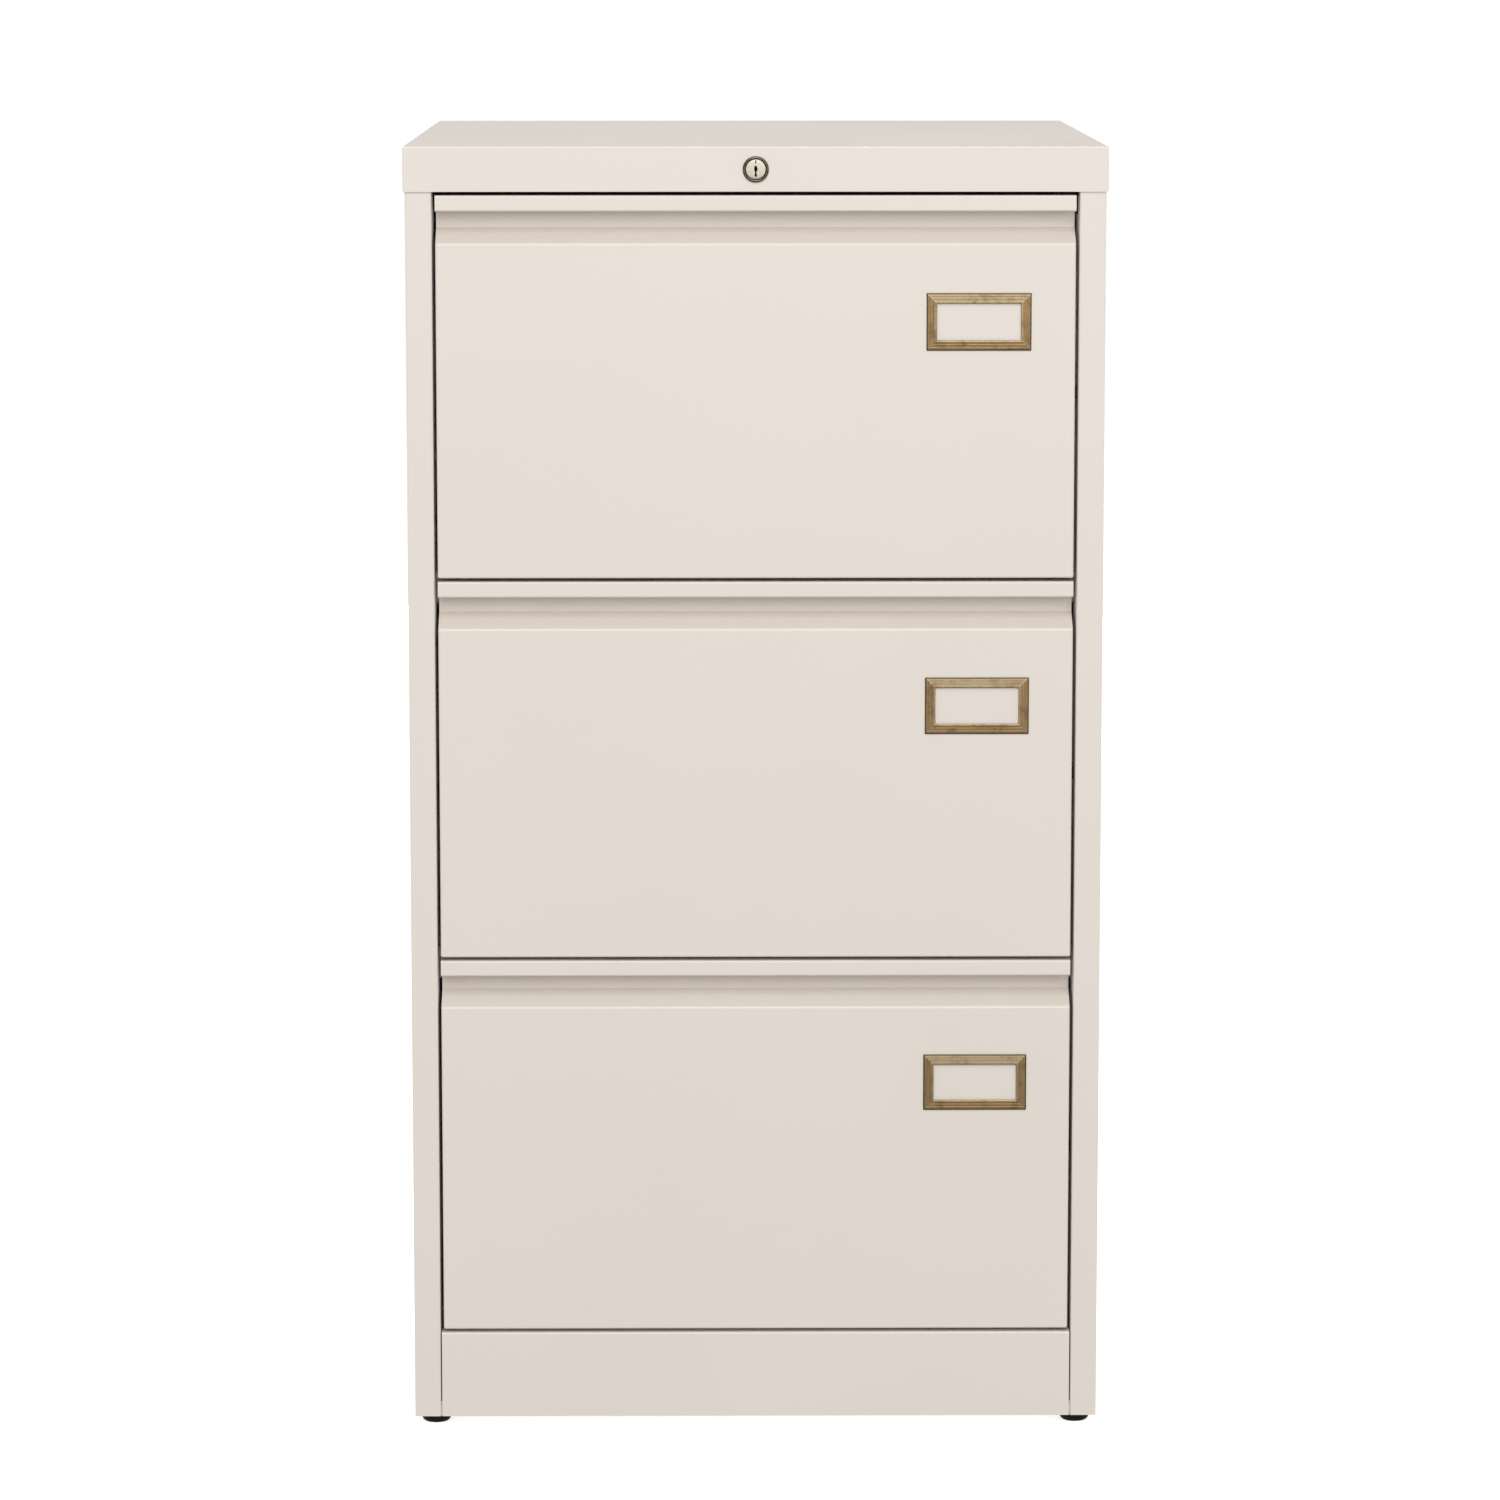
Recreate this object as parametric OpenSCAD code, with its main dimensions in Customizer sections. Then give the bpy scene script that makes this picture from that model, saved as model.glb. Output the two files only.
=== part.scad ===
// Three-drawer metal filing cabinet of folded sheet steel.
// +Z is up, the drawers pull out towards -Y, and the floor is z = 0.
// The origin is under the middle of the cabinet's bounding box.

/* [Cabinet] */
// Overall width, across the lid
total_w = 550; // [500:1:700]
// Overall height, from the floor to the lid's top
total_h = 1022; // [860:1:1300]
// Depth of the lid, front to back
lid_d = 610; // [590:1:760]
// Height of the lid's lip
lid_h = 35; // [33:1:60]
// How far the lid stands out past the body on each side
lid_over = 1.5; // [1.2:0.1:4]
// Outer radius of the lid's upright corners
lid_r = 2.5; // [1.5:0.5:6]
// Thickness of the body's sheet
sheet = 0.8; // [0.7:0.1:1.2]
// Radius of a fold, at the middle of the sheet
bend_r = 1.2; // [1:0.1:2]
// Width of the front posts
post_w = 21; // [20:1:30]
// How far the posts' inner flanges run back
post_d = 22; // [18:1:24]
// Width of the side panels' rear flanges
rear_flange = 18; // [14:1:30]
// Height of the kick plate
plinth_h = 69; // [50:1:110]
// Gap between the kick plate and each post
plinth_gap = 0.8; // [0.5:0.1:2]
// Height of the base pan's flanges
base_h = 12; // [10:1:20]

/* [Feet] */
// Height of a glide under the body
foot_h = 7; // [5:0.5:12]
// Diameter of a glide
foot_d = 24; // [18:1:30]
// Diameter of a glide's flat sole
sole_d = 14; // [8:1:16]
// Diameter of a glide's stem
stem_d = 8; // [6:0.5:10]
// Distance from the body's side to the middle of a glide
foot_in_x = 16.5; // [14:0.5:40]
// Distance from the body's front or back to the middle of a glide
foot_in_y = 16; // [14:0.5:60]

/* [Drawers] */
// Gap between a drawer front and each post
gap_x = 2.5; // [2:0.1:4]
// Gap above and below each drawer front
gap_z = 2.75; // [2:0.05:4]
// Height of the bar along the top of a drawer front
bar_h = 12.6; // [10:0.1:20]
// Width of the fold behind the bar
hem_w = 2.8; // [2.6:0.1:4]
// Depth of the grip recess
recess_d = 20; // [16:0.5:22]
// Height of the recess's upright back below the bar
recess_back = 13.4; // [10:0.1:20]
// Height of the ramp below it
ramp_h = 11.8; // [8:0.1:16]
// Height of the tub's floor above the front's lower edge
tub_lift = 10; // [8:0.5:16]
// Height of the front above the tub's walls
head_room = 45; // [40:1:80]
// Distance between the rails that the files hang on
file_w = 388; // [360:1:392]
// Height of the file rails
rail_h = 14; // [10:1:20]
// Thickness of the file rails
rail_t = 2; // [1.5:0.5:3]
// Thickness of the rubber stops behind the drawers
bumper_t = 12; // [8:1:20]

/* [Slides] */
// Thickness of a slide
slide_t = 12.7; // [12.7:0.1:14]
// Height of a slide
slide_h = 45.6; // [44:0.1:60]
// Thickness of the slide members' steel
member_t = 1.2; // [1:0.1:1.4]
// Diameter of the balls
ball_d = 3.9; // [3.5:0.1:4.2]
// Number of balls in a row
balls = 4; // [3:1:6]
// Distance between balls
ball_pitch = 40; // [20:1:45]
// Height of the slide's middle above the drawer front's lower edge
slide_lift = 85; // [60:1:100]

/* [Lock] */
// Diameter of the lock's rim
lock_d = 20.5; // [20:0.5:24]
// How far the rim stands out of the lid
lock_proud = 2; // [1.5:0.1:3]
// Diameter of the plug's face
plug_face_d = 15.8; // [15:0.1:16.5]
// Diameter of the barrel behind the rim
barrel_d = 17.8; // [17.2:0.1:19]
// Diameter of the plug inside the barrel
plug_d = 12; // [10:0.5:13]
// Distance from the plug's axis to the cam's pin
cam_r = 9; // [8:0.5:9.5]
// Length of the crank's arms
crank_r = 18; // [16:0.5:20]
// Diameter of the linkage's pins
pin_d = 4; // [3:0.5:5]
// Width of the locking rod
rod_w = 14; // [12:0.5:15]

/* [Label holder] */
// Width of the label holder
label_w = 82; // [60:1:110]
// Height of the label holder
label_h = 45; // [35:1:60]
// Width of the holder's bars
label_bar = 8.2; // [5:0.1:10]
// Thickness of the holder
label_t = 2.2; // [1.8:0.1:3]
// Distance from the drawer's middle to the holder's
label_x = 174.5; // [120:0.5:180]
// Distance from the drawer front's top to the holder's middle
label_drop = 98.5; // [80:0.5:120]

/* [Hidden] */
$fn = 48;

// Clearances: between fixed neighbours, of a running fit, and of a loose moving piece
fit = 0.1;
run_fit = 0.05;
loose = 0.5;
bend_steps = 4;

// Widths of the flanges and lips that stiffen the sheets
lid_return = 10;
lid_return_gap = 3;
plinth_flange = 14;
back_top_flange = 12;
upright_lip = 14;
upright_slot_margin = 30;
hem_rise = 7;
liner_flange = 4;
tub_rim = 9;
drawer_back_flange = 14;
rail_foot = 12;
lug_foot = 13;

// Rubber stops: their size and place behind a drawer
bumper_d = 20;
bumper_in = 60;
bumper_up = 100;

// Lock: half widths and heights of the keyhole and of the mark over it, and the nut
keyway_w = 0.7;
keyway_low = -4.5;
keyway_high = 4;
ward_w = 1.3;
ward_low = 0.2;
ward_high = 2;
mark_w = 0.5;
mark_low = 5.6;
mark_high = 8;
nut_d = 26;
nut_t = 4;

// Linkage: arms, bosses and how far ends run past their pins
arm_w = 8;
boss_d = 14;
pin_stand = 0.5;
bar_tail = 20;
bar_nose = 9;
rod_end = 8;
bracket_w = 22;
bracket_t = 1.2;

// Label holder: its step, the pocket's margins and how far the prongs bite
label_step = 1.5;
pocket_x = 3;
pocket_z = 2;
prong_root = 0.2;
prong_out = 1.5;

// The body, and the planes that its pieces are set from
body_w = total_w - 2 * lid_over;
body_d = lid_d - 2 * lid_over;
front_y = lock_proud / 2 - body_d / 2;
back_y = front_y + body_d;
lid_y = front_y - lid_over;
inner_x = body_w / 2 - sheet;
open_x = body_w / 2 - post_w;
panel_top = total_h - sheet;
lid_z = total_h - lid_h;
plinth_top = foot_h + plinth_h;
back_face = back_y - 2 * sheet - fit;

// Drawer fronts, numbered from the top down
drawer_ids = [1, 2, 3];
front_w = 2 * (open_x - gap_x);
front_h = (lid_z - plinth_top - (len(drawer_ids) + 1) * gap_z) / len(drawer_ids);
function drawer_z(n) = plinth_top + gap_z + (len(drawer_ids) - n) * (front_h + gap_z);

// The tub behind a front
liner_y = front_y + recess_d + sheet + fit;
tub_y0 = liner_y + sheet + fit;
tub_y1 = back_face - bumper_t - loose;
slide_gap = 0.5;
slide_x = open_x - slide_gap;
tub_x = slide_x - slide_t;
function tub_top(n) = drawer_z(n) + front_h - head_room;
function floor_z(n) = drawer_z(n) + tub_lift;

// Slides: the members' flanges step inwards by a ball and a flange at a time
slide_y0 = front_y + 48;
slide_y1 = back_face - 16;
step_z = ball_d + 2 * run_fit + member_t;
outer_z = (slide_h - member_t) / 2;
middle_z = outer_z - step_z;
inner_z = middle_z - step_z;
cage_t = 0.5;
web_gap = 1;
middle_u = member_t * 1.5 + web_gap;
cage_outer_u = member_t + web_gap / 2;
cage_inner_u = middle_u + member_t / 2 + 0.8;
cage_l = balls * ball_pitch;
cage_y = (slide_y0 + slide_y1 - cage_l) / 2;
function slide_z(n) = drawer_z(n) + slide_lift;
screw_ys = [slide_y0 + 40, (slide_y0 + slide_y1) / 2 + cage_l / 2 + 40, slide_y1 - 40];

// Uprights that carry the slides
upright_t = 1.2;
upright_d = 30;
upright_ys = [slide_y0 + 1, slide_y1 - 60];
slot_h = 14;
slot_w = 5;
slot_pitch = 50;

// Cross rails behind the fronts
rail_d = 10;
rail_z = 26;
rail_sheet = 1.2;

// Fasteners
screw_d = 3.5;
head_d = 7;
head_t = 1.4;
back_screws = 5;

// Lock linkage: the plug's pin pushes a bar, which turns a crank, which lifts the rod
lock_z = total_h - lid_h / 2;
swing = 45;
throw = 2 * cam_r * sin(swing);
lean = asin(throw / 2 / crank_r);
layer_gap = 1;
bar_y = front_y + post_d + 1.5;
bar_t = 2;
bar_hh = 14;
bar_zc = lock_z - cam_r * (1 + cos(swing)) / 2;
cam_t = 2;
cam_y = bar_y - cam_t - 1.5;
barrel_l = cam_y - lid_y - layer_gap;
crank_y = bar_y + bar_t + layer_gap;
crank_t = 2;
crank_x = open_x - 8;
crank_reach = crank_r * (1 + cos(lean)) / 2;
crank_z = bar_zc - crank_reach;
pivot_d = 6;
rod_y = crank_y + crank_t + layer_gap;
rod_t = 2.5;
rail_y = rod_y + rod_t + 4.4;
rod_x = crank_x + crank_reach;
slot_play = 0.45;
guide_t = 2;
bar_guide_xs = [60, 200];
hook_x = tub_x + 4;
hook_h = 10;
lug_h = 14;
lug_w = 10.7;
lug_t = 1.5;
lug_lift = 150;
lug_y = rod_y + rod_t + layer_gap;
hook_drop = hook_h + 1.5;
function lug_z(n) = drawer_z(n) + lug_lift;
function hook_z(n) = lug_z(n) - hook_drop;

// Label holder
label_lip = 1.1;
label_pocket = 0.6;
prong_w = 4;
prong_t = 0.8;
prong_x = 22;

paint = [0.88, 0.85, 0.81];
zinc = [0.72, 0.73, 0.75];
dark = [0.12, 0.12, 0.12];
brass = [0.66, 0.57, 0.38];

// ---- Bent sheet ----
// bent() draws the section of a sheet of thickness t folded along the points p.

function unit(v) = v / norm(v);
function left(v) = [-v[1], v[0]];
function turned(v, deg) = [v[0] * cos(deg) - v[1] * sin(deg), v[0] * sin(deg) + v[1] * cos(deg)];
function leg(p, i) = unit(p[i + 1] - p[i]);
function fold(p, i, r, s) =
    let (a = leg(p, i - 1),
         b = leg(p, i),
         deg = atan2(cross(a, b), a * b),
         hand = sign(deg),
         middle = p[i] - a * r * tan(abs(deg) / 2) + left(a) * hand * r)
    [for (k = [0:bend_steps])
        middle + turned(left(a), deg * k / bend_steps) * (s - hand * r)];
function side(p, r, s) = concat(
    [p[0] + left(leg(p, 0)) * s],
    [for (i = [1:len(p) - 2]) each fold(p, i, r, s)],
    [p[len(p) - 1] + left(leg(p, len(p) - 2)) * s]);
function backwards(v) = [for (i = [len(v) - 1:-1:0]) v[i]];

module bent(p, t = sheet, r = bend_r)
    polygon(concat(side(p, r, t / 2), backwards(side(p, r, -t / 2))));

// ---- Placing ----

// A section drawn in (y, z), run along X across the middle
module across(w)
    rotate([90, 0, 90])
        linear_extrude(w, center = true)
            children();

// A section drawn in (x, z), run along Y from y0 to y1
module deep(y0, y1)
    translate([0, y1, 0])
        rotate([90, 0, 0])
            linear_extrude(y1 - y0)
                children();

// A section drawn in (x, y), run up from z0 to z1
module tall(z0, z1)
    translate([0, 0, z0])
        linear_extrude(z1 - z0)
            children();

// A box from its lowest corner to its highest
module box(lo, hi)
    translate(lo)
        cube(hi - lo);

// A cylinder along Y from y0 to y1
module rod_along_y(x, z, d, y0, y1)
    translate([x, y1, z])
        rotate([90, 0, 0])
            cylinder(d = d, h = y1 - y0);

// A cylinder along X from x0 to x1
module rod_along_x(y, z, d, x0, x1)
    translate([x0, y, z])
        rotate([0, 90, 0])
            cylinder(d = d, h = x1 - x0);

// The children and their mirror image on the other side
module both_sides() {
    children();
    mirror([1, 0, 0])
        children();
}

// A block with round upright edges, centred in X and Y on [0, yc]
module round_block(w, d, yc, z0, z1, r)
    translate([0, yc, z0]) {
        translate([-w / 2 + r, -d / 2, 0])
            cube([w - 2 * r, d, z1 - z0]);
        translate([-w / 2, -d / 2 + r, 0])
            cube([w, d - 2 * r, z1 - z0]);
        for (i = [-1, 1])
            for (j = [-1, 1])
                translate([i * (w / 2 - r), j * (d / 2 - r), 0])
                    cylinder(r = r, h = z1 - z0);
    }

// ---- Body ----

function back_screw_z(i) = base_h + foot_h + 40 + i * (panel_top - 2 * base_h - 80) / (back_screws - 1);

// Places the children at every screw of the right-hand rear flange
module at_back_screws()
    for (i = [0:back_screws - 1])
        translate([inner_x - rear_flange / 2, 0, back_screw_z(i)])
            children();

module lid() {
    color(paint)
        difference() {
            union() {
                difference() {
                    round_block(total_w, lid_d, lock_proud / 2, lid_z, total_h, lid_r);
                    round_block(total_w - 2 * sheet, lid_d - 2 * sheet, lock_proud / 2,
                        lid_z - 1, panel_top, lid_r - sheet);
                }
                box([-open_x + lid_return_gap, lid_y + sheet / 2, lid_z],
                    [open_x - lid_return_gap, lid_y + lid_return, lid_z + sheet]);
            }
            rod_along_y(0, lock_z, barrel_d + 2 * fit, lid_y - 1, lid_y + 3);
        }
}

module side_panel() {
    out_x = body_w / 2 - sheet / 2;
    post_x = open_x + sheet / 2;
    difference() {
        tall(foot_h, panel_top)
            bent([[post_x, front_y + post_d], [post_x, front_y + sheet / 2],
                [out_x, front_y + sheet / 2], [out_x, back_y - sheet / 2],
                [out_x - rear_flange, back_y - sheet / 2]]);
        // The base pan runs through under the post's inner flange
        box([open_x - 1, front_y + sheet, foot_h - 1],
            [inner_x - 1, front_y + post_d + 1, foot_h + base_h + 1]);
        at_back_screws()
            rod_along_y(0, 0, screw_d + 2 * fit, back_y - 2, back_y + 1);
    }
}

module back_panel() {
    y = back_y - 1.5 * sheet - fit;
    color(paint)
        difference() {
            across(2 * (inner_x - bend_r))
                bent([[y, foot_h + fit], [y, panel_top - sheet / 2 - fit],
                    [y - back_top_flange, panel_top - sheet / 2 - fit]]);
            both_sides()
                at_back_screws()
                    rod_along_y(0, 0, screw_d + 2 * fit, back_face - 1, back_y + 1);
        }
}

module base_pan() {
    x = inner_x - fit;
    y0 = front_y + sheet + bend_r;
    y1 = back_face - fit;
    color(paint)
        difference() {
            box([-x, y0, foot_h], [x, y1, foot_h + base_h]);
            box([-x + sheet, y0 + sheet, foot_h + sheet], [x - sheet, y1 - sheet, foot_h + base_h + 1]);
            at_feet()
                translate([0, 0, foot_h - 1])
                    cylinder(d = stem_d + 2 * fit, h = 3);
        }
}

module plinth()
    color(paint)
        across(2 * (open_x - plinth_gap))
            bent([[front_y + plinth_flange, plinth_top - sheet / 2],
                [front_y + sheet / 2, plinth_top - sheet / 2], [front_y + sheet / 2, foot_h]]);

// A channel across the body, open to the back
module cross_rail(z0, z1)
    across(2 * (inner_x - fit))
        bent([[rail_y + rail_d, z0 + rail_sheet / 2], [rail_y + rail_sheet / 2, z0 + rail_sheet / 2],
            [rail_y + rail_sheet / 2, z1 - rail_sheet / 2], [rail_y + rail_d, z1 - rail_sheet / 2]],
            rail_sheet);

module cross_rails()
    color(paint) {
        for (n = [1, 2])
            cross_rail(drawer_z(n) + 2 - rail_z, drawer_z(n) + 2);
        cross_rail(lid_z + 3, panel_top - 1);
    }

// One upright for the right-hand side: a channel from the side panel to the slides
module upright(y) {
    web_x = slide_x + upright_t / 2;
    z0 = foot_h + base_h + fit;
    z1 = lid_z - 5;
    difference() {
        tall(z0, z1)
            bent([[inner_x - fit, y + upright_t / 2], [web_x, y + upright_t / 2],
                [web_x, y + upright_d], [inner_x - upright_t / 2 - fit, y + upright_d],
                [inner_x - upright_t / 2 - fit, y + upright_d + upright_lip]],
                upright_t);
        for (z = [z0 + upright_slot_margin:slot_pitch:z1 - upright_slot_margin])
            box([slide_x - 1, y + (upright_d - slot_w) / 2, z],
                [slide_x + 3, y + (upright_d + slot_w) / 2, z + slot_h]);
    }
}

module slide_uprights()
    color(zinc)
        both_sides()
            for (y = upright_ys)
                upright(y);

// Places the children over each foot, at the height of the floor
module at_feet()
    for (i = [-1, 1])
        for (y = [front_y + foot_in_y, back_y - foot_in_y])
            translate([i * (body_w / 2 - foot_in_x), y, 0])
                children();

// A push-in glide: a domed sole, a stem and the barb that holds it in the base pan
module foot_glides()
    color(dark)
        at_feet() {
            rotate_extrude()
                difference() {
                    square([foot_d / 2, foot_h]);
                    // The dome is an arc from the sole's edge to the glide's rim
                    difference() {
                        translate([sole_d / 2, 0])
                            square([foot_d, foot_h]);
                        translate([sole_d / 2, foot_h - 0.8])
                            intersection() {
                                circle(r = (foot_d - sole_d) / 2);
                                translate([0, -foot_h + 0.8])
                                    square([foot_d, 2 * foot_h]);
                            }
                        translate([0, foot_h - 0.8])
                            square([foot_d / 2, 0.8]);
                    }
                }
            cylinder(d = stem_d, h = foot_h + sheet + 1);
            translate([0, 0, foot_h + sheet + fit])
                cylinder(d1 = stem_d + 1.6, d2 = stem_d - 2, h = 6);
        }

// Pan-head screws that hold the back panel to the side panels
module body_screws()
    color(zinc)
        both_sides()
            at_back_screws() {
                rod_along_y(0, 0, screw_d, back_face - 4, back_y + 0.5);
                rod_along_y(0, 0, head_d, back_y, back_y + head_t);
            }

// Rubber stops on the back panel, two behind each drawer
module drawer_stops()
    color(dark)
        for (n = drawer_ids)
            both_sides()
                rod_along_y(tub_x - bumper_in, floor_z(n) + bumper_up, bumper_d, back_face - bumper_t, back_face);

// ---- Slides ----

// Sets a section drawn for one slide, in distance from the outer face and height, at both slides
module at_slides(n, y0, y1)
    both_sides()
        translate([slide_x, 0, slide_z(n)])
            mirror([1, 0, 0])
                deep(y0, y1)
                    children();

module channel(web_u, lip_u, z, t)
    bent([[lip_u, z], [web_u, z], [web_u, -z], [lip_u, -z]], t, t / 2 + 0.3);

module slide_outers(n)
    color(zinc)
        at_slides(n, slide_y0, slide_y1)
            channel(member_t / 2, 9.5, outer_z, member_t);

module slide_middles(n)
    color(zinc)
        at_slides(n, slide_y0, slide_y1)
            channel(middle_u, 10.5, middle_z, member_t);

module slide_inners(n)
    color(zinc)
        difference() {
            at_slides(n, slide_y0, slide_y1)
                channel(slide_t - member_t / 2, 5.4, inner_z, member_t);
            slide_screw_holes(n);
        }

// A cage and its balls, at height z from the slide's middle
module cages(n, web_u, lip_u, ball_u, z) {
    difference() {
        at_slides(n, cage_y, cage_y + cage_l)
            channel(web_u, lip_u, z, cage_t);
        at_balls(n, ball_u, z)
            cylinder(d = ball_d + 4 * run_fit, h = 4 * cage_t, center = true);
    }
    at_balls(n, ball_u, z)
        sphere(d = ball_d);
}

module at_balls(n, ball_u, z)
    both_sides()
        for (i = [0:balls - 1])
            for (up = [-1, 1])
                translate([slide_x - ball_u, cage_y + (i + 0.5) * ball_pitch, slide_z(n) + up * z])
                    children();

module outer_cages(n)
    color(zinc)
        cages(n, cage_outer_u, 8.6, 6.2, (outer_z + middle_z) / 2);

module inner_cages(n)
    color(zinc)
        cages(n, cage_inner_u, 10.2, 7.8, (middle_z + inner_z) / 2);

module slide_screw_holes(n)
    both_sides()
        for (y = screw_ys)
            rod_along_x(y, slide_z(n), screw_d + 2 * fit, tub_x - 3, tub_x + 3);

// Screws from inside the tub into the inner slide members
module slide_screws(n)
    color(zinc)
        both_sides()
            for (y = screw_ys) {
                rod_along_x(y, slide_z(n), screw_d, tub_x - sheet - head_t / 2, tub_x + member_t + 1);
                rod_along_x(y, slide_z(n), head_d, tub_x - sheet - head_t, tub_x - sheet);
            }

// ---- Drawers ----

// The front is one folded sheet: lower flange, panel, ramp, recess, top and bar
module drawer_front(n) {
    z0 = drawer_z(n);
    z1 = z0 + front_h;
    y = front_y + sheet / 2;
    back = front_y + recess_d + sheet / 2;
    ramp_top = z1 - bar_h - recess_back;
    ramp_foot = ramp_top - ramp_h;
    color(paint)
        difference() {
            union() {
                across(front_w)
                    bent([[back, z0 + sheet / 2], [y, z0 + sheet / 2], [y, ramp_foot],
                        [back, ramp_top], [back, z1 - sheet / 2], [y, z1 - sheet / 2],
                        [y, z1 - bar_h + sheet / 2], [y + hem_w, z1 - bar_h + sheet / 2],
                        [y + hem_w, z1 - bar_h + hem_rise]]);
                // Flanges at the ends of the panel
                both_sides()
                    translate([(front_w - sheet) / 2, 0, 0])
                        across(sheet)
                            polygon([[y, z0 + sheet / 2], [back, z0 + sheet / 2], [back, ramp_top],
                                [y, ramp_foot]]);
            }
            at_prongs(n)
                box([-prong_w / 2 - fit, front_y - 1, -prong_t / 2 - fit],
                    [prong_w / 2 + fit, front_y + sheet + 1, prong_t / 2 + fit]);
        }
}

// Closes the front from behind and carries the tub
module front_liner(n) {
    y = liner_y + sheet / 2;
    z1 = drawer_z(n) + front_h - sheet / 2;
    color(paint)
        across(2 * tub_x)
            bent([[y, drawer_z(n) + fit], [y, z1], [y + liner_flange, z1]]);
}

// The tub's floor and walls, folded from one sheet
module drawer_tub(n) {
    x = tub_x - sheet / 2;
    z0 = floor_z(n) + sheet / 2;
    z1 = tub_top(n) - sheet / 2;
    color(paint)
        difference() {
            deep(tub_y0, tub_y1)
                bent([[x - tub_rim, z1], [x, z1], [x, z0], [-x, z0], [-x, z1], [-x + tub_rim, z1]]);
            slide_screw_holes(n);
        }
}

module drawer_back(n) {
    x = tub_x - 1.5 * sheet - fit;
    y = tub_y1 - sheet / 2;
    color(paint)
        tall(floor_z(n) + sheet + bend_r, tub_top(n) - sheet - bend_r)
            bent([[-x, y - drawer_back_flange], [-x, y], [x, y], [x, y - drawer_back_flange]]);
}

// The rails that suspension files hang on, with a foot at each end
module file_rails(n) {
    x = file_w / 2;
    y0 = tub_y0 + rail_t / 2;
    y1 = tub_y1 - sheet - rail_t / 2 - fit;
    z1 = tub_top(n) - 2;
    color(zinc)
        both_sides()
            tall(z1 - rail_h, z1)
                bent([[x - rail_foot, y0], [x, y0], [x, y1], [x - rail_foot, y1]], rail_t, rail_t);
}

// The lug that the locking rod's hook catches, on the tub's right-hand wall
module lock_lug(n) {
    z0 = lug_z(n);
    color(zinc)
        tall(z0, z0 + lug_h)
            bent([[tub_x + lug_w, lug_y + lug_t / 2], [tub_x + lug_t / 2, lug_y + lug_t / 2],
                [tub_x + lug_t / 2, lug_y + lug_foot]], lug_t);
}

// Places the children at each prong of a label holder
module at_prongs(n)
    for (i = [-1, 1])
        for (j = [-1, 1])
            translate([label_x + i * prong_x, 0,
                drawer_z(n) + front_h - label_drop + j * (label_h - label_bar) / 2])
                children();

// A frame for the label card, held by prongs through the front
module label_holder(n) {
    window_w = label_w - 2 * label_bar;
    window_h = label_h - 2 * label_bar;
    color(brass)
        translate([label_x, front_y, drawer_z(n) + front_h - label_drop])
            difference() {
                union() {
                    box([-label_w / 2, -label_lip, -label_h / 2], [label_w / 2, 0, label_h / 2]);
                    box([label_step - label_w / 2, -label_t, label_step - label_h / 2],
                        [label_w / 2 - label_step, 0, label_h / 2 - label_step]);
                }
                box([-window_w / 2, -label_t - 1, -window_h / 2], [window_w / 2, 1, window_h / 2]);
                // The card slides in from above
                box([-window_w / 2 - pocket_x, -label_pocket, -window_h / 2 - pocket_z],
                    [window_w / 2 + pocket_x, 1, label_h / 2 + 1]);
            }
    color(brass)
        at_prongs(n)
            box([-prong_w / 2, front_y - label_pocket - prong_root, -prong_t / 2],
                [prong_w / 2, front_y + sheet + prong_out, prong_t / 2]);
}

// ---- Lock ----

module lock_barrel()
    color(zinc)
        difference() {
            union() {
                rod_along_y(0, lock_z, lock_d, lid_y - lock_proud, lid_y);
                rod_along_y(0, lock_z, barrel_d, lid_y - 0.5, lid_y + barrel_l);
            }
            rod_along_y(0, lock_z, plug_d + 2 * run_fit, lid_y - 5, lid_y + barrel_l + 1);
            rod_along_y(0, lock_z, plug_face_d + 2 * run_fit, lid_y - 5, lid_y);
        }

module lock_nut()
    color(zinc)
        difference() {
            translate([0, lid_y + sheet + nut_t, lock_z])
                rotate([90, 30, 0])
                    cylinder(d = nut_d, h = nut_t, $fn = 6);
            rod_along_y(0, lock_z, barrel_d + 2 * run_fit, lid_y, lid_y + 10);
        }

// The plug, with the keyhole in its face
module lock_plug()
    color(zinc)
        difference() {
            union() {
                rod_along_y(0, lock_z, plug_face_d, lid_y - lock_proud + 0.4, lid_y - run_fit);
                rod_along_y(0, lock_z, plug_d, lid_y - 0.5, cam_y);
            }
            box([-keyway_w, lid_y - 5, lock_z + keyway_low], [keyway_w, lid_y + 15, lock_z + keyway_high]);
            box([-ward_w, lid_y - 5, lock_z + ward_low], [ward_w, lid_y + 15, lock_z + ward_high]);
            box([-mark_w, lid_y - 5, lock_z + mark_low],
                [mark_w, lid_y - lock_proud + 0.8, lock_z + mark_high]);
        }

// The arm on the plug's end, at rest turned half its swing to the right of straight down
module lock_cam()
    color(zinc)
        translate([0, cam_y, lock_z])
            rotate([0, -swing, 0]) {
                rod_along_y(0, 0, plug_d, 0, cam_t);
                box([-arm_w / 2, 0, -cam_r], [arm_w / 2, cam_t, 0]);
                rod_along_y(0, -cam_r, arm_w, 0, cam_t);
                rod_along_y(0, -cam_r, pin_d, 0, bar_y + bar_t + pin_stand - cam_y);
            }

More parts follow.
